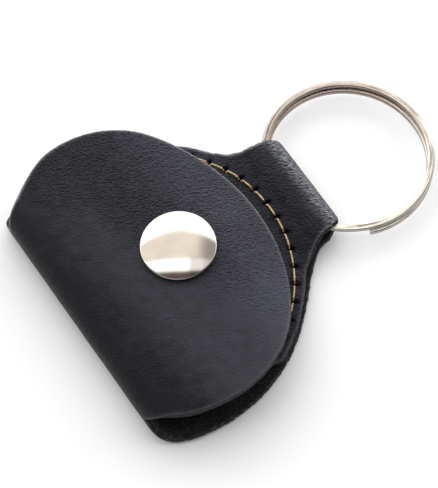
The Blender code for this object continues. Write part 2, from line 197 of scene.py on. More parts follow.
FLAP_LENGTH = FLAP_TIP_X - FOLD_CX
FOLD_LENGTH = math.pi * FOLD_R
BACK_LENGTH = NECK_X - FOLD_CX
BACK_S = FLAP_LENGTH + FOLD_LENGTH  # where the back starts along the strip
STRIP = {
    "start": (FLAP_TIP_X, FLAP_TOP, math.pi),
    "moves": [(FLAP_LENGTH, 0), (FOLD_LENGTH, FOLD_R), (BACK_LENGTH, 0)],
}

RISE_DROP = 2 * LOOP_R - POCKET_TOP
RISE_ANGLE = 2 * math.atan2(RISE_DROP, RISE_RUN)
RISE_R = RISE_RUN / 2 / math.sin(RISE_ANGLE)
LOOP_CX = LOOP_END_X - LOOP_R
LOOP_TURN = math.pi * LOOP_R
POCKET_S = LOOP_CX - NECK_X + LOOP_TURN + LOOP_CX - RISE_END_X + 2 * RISE_R * RISE_ANGLE
POCKET_X = RISE_END_X - RISE_RUN  # where the pocket panel becomes flat, at POCKET_S
LOOP = {
    "start": (NECK_X, 0, 0),
    "moves": [
        (LOOP_CX - NECK_X, 0),
        (LOOP_TURN, LOOP_R),
        (LOOP_CX - RISE_END_X, 0),
        (RISE_R * RISE_ANGLE, RISE_R),
        (RISE_R * RISE_ANGLE, -RISE_R),
        (POCKET_X - MOUTH_X, 0),
    ],
}


def flap_side_centre():
    reach = FLAP_FRONT_R - FLAP_SIDE_R
    return FLAP_TIP_X - FLAP_FRONT_R + reach * math.cos(FLAP_JOIN), reach * math.sin(FLAP_JOIN)


def body_corner_centre():
    reach = BODY_R - BODY_CORNER_R
    return BODY_CX + reach * math.cos(BODY_CORNER_JOIN), reach * math.sin(BODY_CORNER_JOIN)


def lobe(centre, radius, x):
    return centre[1] + math.sqrt(max(radius**2 - (x - centre[0]) ** 2, 0))


def fold_half(turn):
    """Half the strip's width in the fold, at an angle from the flap's end."""
    along = turn * FOLD_MID
    length = math.pi * FOLD_MID
    flap = lobe(flap_side_centre(), FLAP_SIDE_R, FOLD_CX - along)
    body = lobe(body_corner_centre(), BODY_CORNER_R, FOLD_CX - (length - along))
    ease = WAIST_EASE * math.sin(turn)
    return (flap + body + math.hypot(flap - body, ease)) / 2


def shoulder_centre():
    y = NECK_HALF + SHOULDER_R
    return BODY_CX + math.sqrt((BODY_R + SHOULDER_R) ** 2 - y**2), y


def tab_half(x):
    sx, sy = shoulder_centre()
    if x < sx:
        return sy - math.sqrt(SHOULDER_R**2 - (x - sx) ** 2)
    return NECK_HALF + (TAB_HALF - NECK_HALF) * (x - sx) / (LOOP_END_X - sx)


def shoulders(points, x_at, share):
    """The shoulders cut by hand: fuller than the arcs, the +Y one nearer the flap."""
    cut = []
    for s, y in points:
        x = x_at(s)
        extra, centre = SHOULDER_EXTRA[0 if y > 0 else 1]
        more = extra * bell((x - centre) / SHOULDER_SPREAD)
        cut.append((s, y + share * math.copysign(more, y) if abs(y) > 1 else y))
    return cut


def strip_outline():
    """Flap, fold and back, laid flat as (length, y), from the +Y side of the neck round to the
    -Y side."""
    cx, cy = flap_side_centre()
    front = arc(FLAP_TIP_X - FLAP_FRONT_R, 0, FLAP_FRONT_R, 0, FLAP_JOIN)
    end = math.atan2(lobe((cx, cy), FLAP_SIDE_R, FOLD_CX) - cy, FOLD_CX - cx)
    half = [(FLAP_TIP_X - x, y) for x, y in front + arc(cx, cy, FLAP_SIDE_R, FLAP_JOIN, end)[1:]]
    turns = [math.pi * i / 36 for i in range(1, 36)]
    half += [(FLAP_LENGTH + FOLD_R * t, fold_half(t)) for t in turns]
    bx, by = body_corner_centre()
    start = math.acos((FOLD_CX - bx) / BODY_CORNER_R)
    sx, sy = shoulder_centre()
    meet = math.atan2(sy, sx - BODY_CX)
    body = arc(bx, by, BODY_CORNER_R, start, BODY_CORNER_JOIN)
    body += arc(BODY_CX, 0, BODY_R, BODY_CORNER_JOIN, meet)[1:]
    body += arc(sx, sy, SHOULDER_R, meet - math.pi, -math.acos((NECK_X - sx) / SHOULDER_R))[1:]
    half += [(BACK_S + x - FOLD_CX, y) for x, y in body]
    whole = half[::-1] + [(s, -y) for s, y in half[1:]]
    return shoulders(whole, lambda s: s - BACK_S + FOLD_CX if s > BACK_S else 2 * FOLD_CX, 1)


def pocket_s(x):
    return POCKET_S + POCKET_X - x


def loop_outline():
    """The loop and the pocket panel, laid flat, from the +Y side of the neck round the mouth."""
    half = []
    reach = 2.0
    count = round((pocket_s(reach)) / 0.45)
    for i in range(count + 1):
        s = pocket_s(reach) * i / count
        x = follow(LOOP, s)[0]
        inset = POCKET_INSET * smooth((8 - x) / 6) if s > LOOP_TURN else 0
        half.append((s, tab_half(x) - inset))
    sx, sy = shoulder_centre()
    meet = math.atan2(sy, sx - BODY_CX)
    bend = SHOULDER_R + POCKET_INSET
    radius = BODY_R - POCKET_INSET
    shape = arc(sx, sy, bend, -math.acos((reach - sx) / bend), meet - math.pi)[1:]
    mouth_cx = MOUTH_X + MOUTH_R
    apart = mouth_cx - BODY_CX
    corner_x = BODY_CX + (apart**2 + radius**2 - MOUTH_R**2) / (2 * apart)
    corner_y = math.sqrt(radius**2 - (corner_x - BODY_CX) ** 2)
    corner = math.atan2(corner_y, corner_x - BODY_CX) - MOUTH_CORNER / radius
    shape += arc(BODY_CX, 0, radius, meet, corner)[1:]
    turn = math.pi - math.atan2(corner_y, mouth_cx - corner_x) + MOUTH_CORNER / MOUTH_R
    shape += arc(mouth_cx, 0, MOUTH_R, turn, math.pi)
    half += [(pocket_s(x), y) for x, y in shape]
    whole = half + [(s, -y) for s, y in half[-2::-1]]
    low = shoulders([p for p in whole if p[0] < LOOP_TURN], lambda s: NECK_X + s, 1)
    top = shoulders([p for p in whole if p[0] >= LOOP_TURN], lambda s: follow(LOOP, s)[0], 0.6)
    ends = len([p for p in whole[: len(whole) // 2] if p[0] < LOOP_TURN])
    return low[:ends] + top + low[ends:]


# meshes -------------------------------------------------------------------------------------

GRAIN, EDGE, SUEDE = 0, 1, 2


def flat_solid(outline, thickness, profile, rough):
    """A closed sheet laid flat as (length, y, depth), with its edge shaped by a profile of
    (inset, share of the thickness), and roughened by an amount that goes with the length. The
    outline's two ends are on a straight cut."""
    bm = bmesh.new()
    count = len(outline)
    normals = []
    for i in range(count):
        ahead = outline[min(i + 1, count - 1)]
        behind = outline[max(i - 1, 0)]
        n = Vector((ahead[1] - behind[1], behind[0] - ahead[0])).normalized()
        if i in (0, count - 1):
            n = Vector((0, math.copysign(1, n.y)))
        normals.append(n)
    inward = -1 if normals[0].y * outline[0][1] > 0 else 1
    rings = []
    for k, (inset, share) in enumerate(profile):
        row = []
        for i, (s, y) in enumerate(outline):
            wild = noise.noise(Vector((s * 1.7, y * 1.7, k * 0.9)))
            wild += 0.6 * noise.noise(Vector((s * 4.1, y * 4.1, k * 2.3 + 7)))
            wild = 0 if i in (0, count - 1) else wild * rough(s)
            n = normals[i] * inward * (inset + wild)
            row.append(bm.verts.new((s + n.x, y + n.y, share * thickness)))
        rings.append(row)
    for a, b in zip(rings, rings[1:]):
        for i in range(count - 1):
            bm.faces.new((a[i], a[i + 1], b[i + 1], b[i]))
    bm.faces.new(rings[0])
    bm.faces.new(rings[-1])
    ends = [r[0] for r in rings] + [r[-1] for r in reversed(rings)]
    bm.faces.new(ends)
    bmesh.ops.recalc_face_normals(bm, faces=bm.faces)
    return bm


def slice_at(bm, lengths, widths):
    """Cuts the flat sheet along lines of equal length and of equal y."""
    for value in lengths:
        geom = bm.verts[:] + bm.edges[:] + bm.faces[:]
        bmesh.ops.bisect_plane(bm, geom=geom, dist=1e-5, plane_co=(value, 0, 0), plane_no=(1, 0, 0))
    for value in widths:
        geom = bm.verts[:] + bm.edges[:] + bm.faces[:]
        bmesh.ops.bisect_plane(bm, geom=geom, dist=1e-5, plane_co=(0, value, 0), plane_no=(0, 1, 0))


def refine(bm, test, times):
    """Halves the faces on the grain side that a test picks."""
    for _ in range(times):
        picked = [f for f in bm.faces if f.normal.z < -0.7 and test(f.calc_center_median())]
        edges = {e for f in picked for e in f.edges}
        bmesh.ops.subdivide_edges(bm, edges=list(edges), cuts=1, use_grid_fill=True)
    wide = [f for f in bm.faces if len(f.verts) > 4]
    bmesh.ops.triangulate(bm, faces=wide)


def keep_between(bm, low, high):
    """A copy of the sheet cut off at two lengths, with its cut ends closed."""
    part = bm.copy()
    for value, side in ((low, -1), (high, 1)):
        if value is None:
            continue
        geom = part.verts[:] + part.edges[:] + part.faces[:]
        bmesh.ops.bisect_plane(
            part, geom=geom, dist=1e-5, plane_co=(value, 0, 0), plane_no=(side, 0, 0), clear_outer=True
        )
        rim = [e for e in part.edges if e.is_boundary]
        bmesh.ops.edgenet_fill(part, edges=rim)
    return part


def rim(y, d):
    """How much a point belongs to the painted highlight round a cut edge, a pale line which fades at the
    -Y side.
    """
    return smooth(d / 0.06) * (1 - smooth(d / 0.4)) * (0.2 + 0.8 * smooth((y + 14) / 12))


def sheet_object(name, bm, place, materials, amounts):
    """Bends the flat sheet into its place and makes it an object. Its flat coordinates and its
    amounts, which are functions of them, stay on it for the grain to follow."""
    cuts = []
    for face in bm.faces:
        n = face.normal
        depth = face.calc_center_median().z
        if abs(n.x) > 0.999 and len(face.verts) > 4:
            face.material_index = SUEDE
            cuts.append(face)
        elif depth > LEATHER * 0.97:
            face.material_index = SUEDE
        elif depth < LEATHER * 0.14:
            face.material_index = GRAIN
        else:
            face.material_index = EDGE
    sharp = {e for face in cuts for e in face.edges}
    for edge in bm.edges:
        edge.smooth = edge not in sharp
    for face in bm.faces:
        face.smooth = True
    layers = {key: bm.verts.layers.float.new(key) for key in (*amounts, "rim")}
    flat = bm.verts.layers.float_vector.new("flat")
    for vert in bm.verts:
        s, y, d = vert.co
        vert[flat] = (s, y, d)
        for key, amount in amounts.items():
            vert[layers[key]] = amount(s, y)
        vert[layers["rim"]] = rim(y, d)
        vert.co = Vector(place(s, y, d)) * MM
    bmesh.ops.recalc_face_normals(bm, faces=bm.faces)
    mesh = bpy.data.meshes.new(name)
    bm.to_mesh(mesh)
    bm.free()
    for mat in materials:
        mesh.materials.append(mat)
    obj = bpy.data.objects.new(name, mesh)
    bpy.context.scene.collection.objects.link(obj)
    return obj


def seam_distance(x, y):
    """How far a point is from the line of stitches, and its place along it in stitches."""
    dx, dy = x - STITCH_CX, y
    angle = math.atan2(dy, dx)
    along = (angle + STITCH_SPAN) / (2 * STITCH_SPAN) * STITCHES
    beyond = max(abs(angle) - STITCH_SPAN, 0) * STITCH_R
    return math.hypot(math.hypot(dx, dy) - STITCH_R, beyond), along


def hole_distance(x, y):
    """Distance to the nearest needle hole, along the seam and across it."""
    _, along = seam_distance(x, y)
    near = min(max(round(along), 0), STITCHES)
    return (along - near) * STITCH_PITCH, math.hypot(x - STITCH_CX, y) - STITCH_R


def flap_lift(x, y):
    """The flap's sides curl up, its tip droops, and the snap pulls its middle down."""
    r = math.hypot(x - SNAP_X, y)
    curl = FLAP_CURL * y * y * smooth((r - 5) / 6)
    droop = TIP_DROOP * smooth((x + 10) / 11)
    press = CAP_PRESS * bell((r - 6.4) / 1.3)
    return curl - droop - press


def ripple(s, y):
    broad = noise.noise(Vector((s * 0.16, y * 0.16, 3.0)))
    small = noise.noise(Vector((s * 0.6, y * 0.6, 9.0)))
    return 0.05 * broad + 0.018 * small


def place_strip(s, y, d):
    x, z, h = follow(STRIP, s)
    if d < LEATHER * 0.5:
        if s > BACK_S:
            away, _ = seam_distance(x, y)
            along, across = hole_distance(x, y)
            d += BACK_GROOVE * bell(away / 0.5) + 0.25 * bell(math.hypot(along / 0.35, across / 0.45))
            d += 0.02 * smooth((s - BACK_S) / 4)
        else:
            d -= ripple(s, y)
    nx, nz = math.sin(h), -math.cos(h)
    x, z = x - nx * d, z - nz * d
    if s < FLAP_LENGTH + 2:
        z += flap_lift(x, y) * smooth((FLAP_LENGTH + 1 - s) / 9)
    return x, y, z


def pocket_dip(x, y):
    """The stitches draw the pocket panel down to the back round its edge."""
    r = math.hypot(x - STITCH_CX, y)
    neck = 1 - smooth((x + 2) / 4) * smooth((12 - abs(y)) / 5)
    return -PINCH * smooth((r - STITCH_R + 3.5) / 4) * neck


def place_loop(s, y, d):
    x, z, h = follow(LOOP, s)
    thin = LOOP_LEATHER / LEATHER
    share = thin + (1 - thin) * (1 - smooth(s / 3) + smooth((s - POCKET_S + 3) / 4))
    grain = d < LEATHER * 0.5
    d *= min(share, 1)
    if s > LOOP_TURN:
        z += pocket_dip(x, y)
        if grain:
            away, _ = seam_distance(x, y)
            along, across = hole_distance(x, y)
            d += 0.10 * bell(away / 0.55)
            d += HOLE_DENT * bell(math.hypot(along / 0.32, across / 0.48))
            d -= ripple(s + 40, y)
    nx, nz = math.sin(h), -math.cos(h)
    x, z = x - nx * d, z - nz * d
    skew = smooth((x - 1) / 9)
    return x + TAB_SKEW * y * skew, y + TAB_SHIFT * skew, z


# materials ----------------------------------------------------------------------------------


class Graph:
    """A Principled material that is built node by node."""

    def __init__(self, name, **constants):
        self.mat = bpy.data.materials.new(name)
        self.mat.use_nodes = True
        self.nodes = self.mat.node_tree.nodes
        self.links = self.mat.node_tree.links
        self.shader = self.nodes["Principled BSDF"]
        for key, value in constants.items():
            self.shader.inputs[key.replace("_", " ")].default_value = value

    def add(self, kind, inputs=(), **settings):
        node = self.nodes.new(kind)
        for key, value in settings.items():
            setattr(node, key, value)
        for key, value in dict(inputs).items():
            if isinstance(value, bpy.types.NodeSocket):
                self.links.new(value, node.inputs[key])
            else:
                node.inputs[key].default_value = value
        return node

    def calc(self, operation, a, b=0.0, clamp=False):
        return self.add("ShaderNodeMath", {0: a, 1: b}, operation=operation, use_clamp=clamp).outputs[0]

    def noise(self, vector, scale, detail=2.0, roughness=0.5):
        inputs = {"Vector": vector, "Scale": scale, "Detail": detail, "Roughness": roughness}
        return self.add("ShaderNodeTexNoise", inputs).outputs["Fac"]

    def cells(self, vector, smoothness):
        node = self.add("ShaderNodeTexVoronoi", {"Vector": vector, "Scale": 1.0}, feature="SMOOTH_F1")
        node.inputs["Smoothness"].default_value = smoothness
        return node.outputs["Distance"]

    def stretch(self, vector, scale, angle=0.0):
        """Makes features as long as the scale says along axes that are turned by the angle."""
        inputs = {"Vector": vector, "Scale": scale, "Rotation": (0, 0, angle)}
        return self.add("ShaderNodeMapping", inputs, vector_type="TEXTURE").outputs[0]

    def spread(self, value, low, high, to_low=0.0, to_high=1.0):
        inputs = {"Value": value, "From Min": low, "From Max": high, "To Min": to_low, "To Max": to_high}
        return self.add("ShaderNodeMapRange", inputs, clamp=True).outputs[0]

    def blend(self, share, a, b):
        node = self.add("ShaderNodeMix", data_type="RGBA")
        for key, value in ((0, share), (6, a), (7, b)):
            if isinstance(value, bpy.types.NodeSocket):
                self.links.new(value, node.inputs[key])
            else:
                node.inputs[key].default_value = value
        return node.outputs[2]

    def bump(self, height, distance, strength=1.0):
        inputs = {"Height": height, "Distance": distance, "Strength": strength}
        return self.add("ShaderNodeBump", inputs).outputs[0]

    def calc3(self, a, b, c):
        """a times b, plus c."""
        return self.add("ShaderNodeMath", {0: a, 1: b, 2: c}, operation="MULTIPLY_ADD").outputs[0]

    def split(self, vector):
        return self.add("ShaderNodeSeparateXYZ", {0: vector}).outputs

    def attribute(self, name):
        """The flat coordinates, or one of the amounts that a sheet carries."""
        node = self.add("ShaderNodeAttribute", attribute_name=name)
        return node.outputs["Vector" if name == "flat" else "Fac"]

    def place(self):
        return self.add("ShaderNodeTexCoord").outputs["Object"]

    def set(self, **outputs):
        for key, value in outputs.items():
            self.links.new(value, self.shader.inputs[key.replace("_", " ")])
        return self.mat


def grey(level, tint=(1, 1, 1)):
    return (level * tint[0], level * tint[1], level * tint[2], 1)


BLUE_BLACK = (0.93, 0.96, 1.25)
GRAIN_TURN = math.radians(33)


def grain_material():
    """Finished black leather: fine pebbles, longer creases, scuffs with a painted sheen where it wears on
    the ring; its tone, edge line and needle holes are painted light and shade.
    """
    g = Graph("black_grain_leather", Specular_Tint=(0.86, 0.87, 1.0, 1))
    flat = g.attribute("flat")
    wear = g.attribute("wear")
    hole_shadow = g.attribute("hole_shadow")
    tone = g.attribute("tone")
    rim = g.attribute("rim")
    warp = g.noise(flat, 0.5, 2)
    pebbles = g.cells(g.stretch(flat, (0.5, 0.34, 1.0), GRAIN_TURN), 0.3)
    creases = g.noise(g.stretch(flat, (0.95, 0.38, 1.0), GRAIN_TURN), 1.0, 4, 0.65)
    fine = g.noise(flat, 6.0, 3, 0.6)
    patch = g.noise(flat, 0.12, 2)
    amount = g.calc("MULTIPLY", g.spread(patch, 0.35, 0.6, 0.55, 1.0), g.attribute("relief"))
    amount = g.calc("ADD", amount, wear)
    height = g.calc("ADD", g.calc("MULTIPLY", pebbles, 0.7), g.calc("MULTIPLY", creases, 0.9))
    height = g.calc("ADD", g.calc("MULTIPLY", height, amount), g.calc("MULTIPLY", fine, 0.1))
    # The tone is painted light: a painted highlight at the flap's tip, and painted shade round the fold,
    # on the loop and on the pocket panel.
    shade = g.calc("ADD", tone, g.spread(warp, 0.3, 0.7, -0.08, 0.08), clamp=True)
    shade = g.calc3(g.calc("MULTIPLY", g.calc("SUBTRACT", height, 0.8), amount), 0.34, shade)
    colour = g.blend(shade, grey(0.005, BLUE_BLACK), grey(0.066, BLUE_BLACK))
    streaks = g.noise(g.stretch(flat, (0.9, 0.22, 1.0), GRAIN_TURN), 1.0, 5, 0.7)
    # Pale streaks with a painted sheen where the loop turns over the ring.
    scuffs_and_sheen = g.calc("MULTIPLY", g.spread(streaks, 0.43, 0.58), wear)
    colour = g.blend(scuffs_and_sheen, colour, grey(0.5, (0.95, 1.0, 1.12)))
    # Painted highlight along the top of the cut edges.
    colour = g.blend(rim, colour, grey(0.3, (1.0, 0.98, 1.05)))
    # Painted shadow in the needle holes.
    colour = g.blend(hole_shadow, colour, grey(0.002))
    rough = g.spread(g.noise(flat, 1.2, 3), 0.3, 0.7, 0.36, 0.46)
    sheen = g.calc("MULTIPLY", g.spread(hole_shadow, 0, 1, 1.0, 0.0), g.spread(tone, 0, 1.0, 0.18, 0.36))
    return g.set(
        Base_Color=colour, Roughness=rough, Specular_IOR_Level=sheen, Normal=g.bump(height, 0.0011, 1.0)
    )


def edge_material():
    """The cut edge: dyed fibres."""
    g = Graph("cut_leather_edge", Specular_IOR_Level=0.3)
    flat = g.attribute("flat")
    fibres = g.noise(g.stretch(flat, (1.0, 1.0, 0.5)), 1.5, 5, 0.75)
    colour = g.blend(g.spread(fibres, 0.46, 0.68), grey(0.002), grey(0.075, (0.85, 1, 1.15)))
    rough = g.spread(fibres, 0.3, 0.7, 0.6, 0.85)
    return g.set(Base_Color=colour, Roughness=rough, Normal=g.bump(fibres, 0.0003, 1.0))


def suede_material():
    """The flesh side: short nap, dyed through."""
    g = Graph("flesh_side_leather", Specular_IOR_Level=0.2, Roughness=0.95)
    flat = g.attribute("flat")
    nap = g.noise(flat, 3.5, 5, 0.75)
    colour = g.blend(g.spread(nap, 0.42, 0.68), grey(0.003), grey(0.04, (0.95, 1, 1.05)))
    return g.set(Base_Color=colour, Normal=g.bump(nap, 0.0002, 0.8))


def metal_material(name, colour, low, high):
    """Bright plated metal with faint, uneven wear."""
    g = Graph(name, Metallic=1.0)
    place = g.place()
    clouds = g.noise(place, 260.0, 3)
    lines = g.noise(g.stretch(place, (1, 0.11, 1), 0.7), 900.0, 3, 0.6)
    worn = g.calc("ADD", g.calc("MULTIPLY", clouds, 0.7), g.calc("MULTIPLY", lines, 0.3))
    dull = g.spread(worn, 0.35, 0.65, low, high)
    dark = tuple(c * 0.9 for c in colour[:3]) + (1,)
    tone = g.blend(g.spread(clouds, 0.35, 0.65), dark, colour)
    return g.set(Base_Color=tone, Roughness=dull, Normal=g.bump(lines, 0.00001, 0.3))


def wire_material():
    """Drawn and tumbled wire: long streaks along it, its near side painted lighter than its far side as
    painted light, and the faces that look sideways painted darker as a painted reflection.
    """
    g = Graph("ring_nickel", Metallic=1.0)
    flat = g.attribute("flat")
    _, _, side = g.split(flat)
    streaks = g.noise(g.stretch(flat, (9.0, 0.2, 1.0)), 1.0, 3, 0.6)
    patches = g.noise(g.stretch(flat, (2.4, 1.2, 1.0)), 1.0, 3)
    _, y, _ = g.split(g.place())
    # Painted light: the ring's near side is lighter, its far side browner.
    near = g.spread(y, 0.006, -0.009)
    painted_lit_colour = g.blend(near, (0.6, 0.535, 0.485, 1), (0.95, 0.92, 0.88, 1))
    painted_lit_colour = g.blend(g.spread(patches, 0.5, 0.75, 0.0, 0.6), painted_lit_colour, (0.8, 0.74, 0.68, 1))
    colour = g.blend(g.spread(streaks, 0.34, 0.5), (0.2, 0.155, 0.13, 1), painted_lit_colour)
    # Painted reflection: the faces of the wire that look sideways are darker.
    colour = g.blend(g.spread(side, 0.6, 1.0, 0.0, 0.85), colour, (0.27, 0.215, 0.19, 1))
    rough = g.spread(patches, 0.3, 0.7, 0.16, 0.34)
    return g.set(Base_Color=colour, Roughness=rough, Normal=g.bump(streaks, 0.00004, 0.8))


def thread_material():
    g = Graph("waxed_gold_thread", Specular_IOR_Level=0.6)
    place = g.place()
    fibres = g.noise(place, 3000.0, 3, 0.6)
    colour = g.blend(g.spread(fibres, 0.3, 0.7), (0.42, 0.23, 0.06, 1), (0.92, 0.76, 0.47, 1))
    rough = g.spread(fibres, 0.3, 0.7, 0.35, 0.6)
    return g.set(Base_Color=colour, Roughness=rough, Normal=g.bump(fibres, 0.00003, 0.6))


# turned and wound pieces --------------------------------------------------------------------


def mesh_object(name, verts, faces, mat, sharp=math.radians(40)):
    mesh = bpy.data.meshes.new(name)
    mesh.from_pydata([Vector(v) * MM for v in verts], [], faces)
    bm = bmesh.new()
    bm.from_mesh(mesh)
    bmesh.ops.recalc_face_normals(bm, faces=bm.faces)
    bm.to_mesh(mesh)
    bm.free()
    mesh.shade_smooth()
    mesh.set_sharp_from_angle(angle=sharp)
    mesh.materials.append(mat)
    obj = bpy.data.objects.new(name, mesh)
    bpy.context.scene.collection.objects.link(obj)
    return obj


def turned(name, profile, mat, sides=96):
    """A solid turned about the snap's axis from (radius, height) points."""
    verts, faces, rows = [], [], []
    for r, z in profile:
        if r == 0:
            rows.append([len(verts)])
            verts.append((SNAP_X, 0, z))
            continue
        rows.append(list(range(len(verts), len(verts) + sides)))
        for i in range(sides):
            a = 2 * math.pi * i / sides
            verts.append((SNAP_X + r * math.cos(a), r * math.sin(a), z))
    pairs = list(zip(rows, rows[1:]))
    if profile[0][0] > 0:
        pairs.append((rows[-1], rows[0]))
    for a, b in pairs:
        for i in range(sides):
            j = (i + 1) % sides
            face = [a[i % len(a)], a[j % len(a)], b[j % len(b)], b[i % len(b)]]
            faces.append(list(dict.fromkeys(face)))
    return mesh_object(name, verts, faces, mat)


def swept(rings):
    """(verts, faces) of a solid whose closed rings follow each other, with flat ends."""
    verts = [p for ring in rings for p in ring]
    n = len(rings[0])
    faces = []
    for k in range(len(rings) - 1):
        for i in range(n):
            j = (i + 1) % n
            faces.append((k * n + i, k * n + j, k * n + n + j, k * n + n + i))
    faces.append(tuple(range(n)))
    faces.append(tuple(range(len(verts) - n, len(verts))))
    return verts, faces


def tube_rings(path, radius, sides):
    """Rings round a level path, for swept."""
    rings = []
    for i, p in enumerate(path):
        along = (path[min(i + 1, len(path) - 1)] - path[max(i - 1, 0)]).normalized()
        flat = Vector((0, 0, 1)).cross(along).normalized()
        up = along.cross(flat)
        angles = [2 * math.pi * k / sides for k in range(sides)]
        rings.append([p + radius * (math.cos(a) * flat + math.sin(a) * up) for a in angles])
    return rings


def rounded(cr, cz, radius, start, end, count):
    angles = [start + (end - start) * i / count for i in range(count + 1)]
    return [(cr + radius * math.cos(a), cz + radius * math.sin(a)) for a in angles]


def bead(cr, cz, radius, count):
    """The outer half of a round edge, from its bottom to its top."""
    return rounded(cr, cz, radius, -math.pi / 2, math.pi / 2, count)


# seam ---------------------------------------------------------------------------------------


def stitch_mesh(name, height, side, mat):
    """Each stitch is two twisted plies that rise from one needle hole and sink into the next."""
    verts, faces = [], []
    steps = 26
    for k in range(STITCHES):
        for ply in (0, 1):
            path = []
            for i in range(steps + 1):
                t = i / steps
                share = k + STITCH_GAP + (1 - 2 * STITCH_GAP) * t
                angle = STITCH_SPAN * (2 * share / STITCHES - 1)
                end = min(t, 1 - t)
                x = STITCH_CX + STITCH_R * math.cos(angle)
                y = STITCH_R * math.sin(angle)
                sink = STITCH_SINK * (1 - smooth(end / 0.17))
                z = height(x, y) + side * (STITCH_HEIGHT - sink + 0.03 * math.sin(math.pi * t))
                twist = 2 * math.pi * (t * PLY_TURNS + 0.5 * ply)
                out = PLY_OFFSET * math.cos(twist)
                up = PLY_OFFSET * math.sin(twist)
                path.append(Vector((x + out * math.cos(angle), y + out * math.sin(angle), z + up)))
            ring_verts, ring_faces = swept(tube_rings(path, PLY_R, 7))
            base = len(verts)
            verts += ring_verts
            faces += [tuple(base + v for v in f) for f in ring_faces]
    return mesh_object(name, verts, faces, mat, math.radians(60))


# snap ---------------------------------------------------------------------------------------


def heights(node):
    """The lowest and the highest z of a CAD node."""
    low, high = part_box(node)
    return low[2] / MM, high[2] / MM


def cap_dome(mat):
    """A domed cap with a rolled rim, hollow underneath."""
    low, top = heights("snap_cap")
    roof = low + CAP_HOLLOW
    profile = [(0, roof), (CAP_HOLLOW_R, roof), (CAP_HOLLOW_R, low), (CAP_R - CAP_RIM, low)]
    profile += rounded(CAP_R - CAP_RIM, low + CAP_RIM, CAP_RIM, -math.pi / 2, 0.42 * math.pi, 12)
    edge_r, edge_z = profile[-1]
    for i in range(1, 24):
        r = edge_r * math.cos(math.pi / 2 * i / 24)
        profile.append((r, edge_z + (top - edge_z) * (1 - (r / edge_r) ** 2.3)))
    profile.append((0, top))
    return turned("cap_dome", profile, mat, 128)


def cap_shank(mat):
    """The cap's shank through the flap, with a flange above and a clinched foot in the socket."""
    low, top = heights("cap_post")
    profile = [(0, low + 0.12), (1.2, low + 0.12), (1.3, low + 0.02)]
    profile += bead(SHANK_R + SHEET, low + SHEET, SHEET, 8)[:-1]
    profile += [(SHANK_R, low + 0.42), (SHANK_R, top - SHEET), (SHANK_FLANGE_R, top - SHEET)]
    profile += [(SHANK_FLANGE_R, top), (0, top)]
    return turned("cap_shank", profile, mat, 64)


def socket_cup(mat):
    """A cup with an eye above, a rolled mouth below and the spring's groove inside."""
    lip, crown = heights("snap_socket")
    groove_low, groove_top = lip + 0.15, lip + 0.55
    profile = rounded(SOCKET_R - 0.25, lip + 0.25, 0.25, -math.pi / 2, 0, 6)
    profile += rounded(SOCKET_R - 0.35, crown - 0.35, 0.35, 0, math.pi / 2, 6)
    profile += [(SOCKET_EYE_R, crown), (SOCKET_EYE_R, crown - SHEET), (SOCKET_MOUTH_R, crown - SHEET)]
    profile += [(SOCKET_MOUTH_R, groove_top), (SPRING_GROOVE_R, groove_top), (SPRING_GROOVE_R, groove_low)]
    profile += [(2.35, groove_low), (SOCKET_MOUTH_R, lip + 0.1), (2.3, lip + 0.02), (2.45, lip)]
    profile += [(2.9, lip + 0.03), (3.2, lip + 0.12), (3.6, lip + 0.12), (3.85, lip + 0.02)]
    return turned("socket_cup", profile, mat)


def spring_wire(mat):
    """An open ring of wire in the socket's groove."""
    z = heights("snap_socket")[0] + 0.35
    path = []
    for i in range(65):
        a = math.radians(15 + 330 * i / 64)
        path.append(Vector((SNAP_X + SPRING_R * math.cos(a), SPRING_R * math.sin(a), z)))
    verts, faces = swept(tube_rings(path, SPRING_WIRE_R, 10))
    return mesh_object("spring_wire", verts, faces, mat)


def stud_head(mat):
    """A stud with a rolled foot, a waisted neck and a round head."""
    foot, head = heights("snap_stud")
    profile = [(STUD_BORE_R, foot), (4.0, foot)] + bead(STUD_FOOT_R, foot + 0.15, 0.15, 6)
    profile += [(3.3, foot + 0.25), (3.0, foot + 0.17), (2.4, foot + 0.17), (2.0, foot + 0.3)]
    profile += [(STUD_NECK_R + 0.02, foot + 0.42), (STUD_NECK_R, head - 0.52)]
    profile += bead(STUD_HEAD_R, head - 0.24, 0.24, 8)
    profile += [(1.3, head - 0.02), (1.0, head - 0.08), (STUD_BORE_R, head - 0.16)]
    return turned("stud_head", profile, mat)


def stud_rivet(mat):
    """A flat-headed rivet inside the pocket, flared over the top of the stud."""
    low, top = heights("stud_post")
    profile = [(0, low)] + bead(RIVET_HEAD_R - 0.15, low + 0.15, 0.15, 6)
    profile += [(RIVET_SHANK_R, low + 0.3), (RIVET_SHANK_R, top - 0.12)]
    profile += bead(1.14, top - 0.06, 0.06, 4)
    profile += [(0.5, top), (0.4, top - 0.3), (0, top - 0.34)]
    return turned("stud_rivet", profile, mat, 64)


# key ring -----------------------------------------------------------------------------------


def coil_shift(degrees):
    """The lower coil springs out at its blunt end, and lies inside the upper coil further on."""
    if degrees < 540:
        out = 0.4 * (1 - smooth((degrees - 250) / 70))
        inside = 0.5 * smooth((degrees - 300) / 70) * (1 - smooth((degrees - 505) / 35))
        return out - inside
    return -0.22 * bell((degrees - 867) / 45)


def wire_section():
    """(r, z, how much it faces sideways) for points round the flat wire, which has round
    corners. The first point is on its outer side."""
    section = []
    for k, (r_side, z_side) in enumerate(((1, 1), (-1, 1), (-1, -1), (1, -1))):
        for i in range(4):
            a = math.pi / 2 * (k + i / 3)
            r = r_side * (WIRE_HALF_WIDTH - WIRE_CORNER) + WIRE_CORNER * math.cos(a)
            z = z_side * (WIRE_HALF_THICK - WIRE_CORNER) + WIRE_CORNER * math.sin(a)
            section.append((r, z, abs(math.cos(a))))
    return section


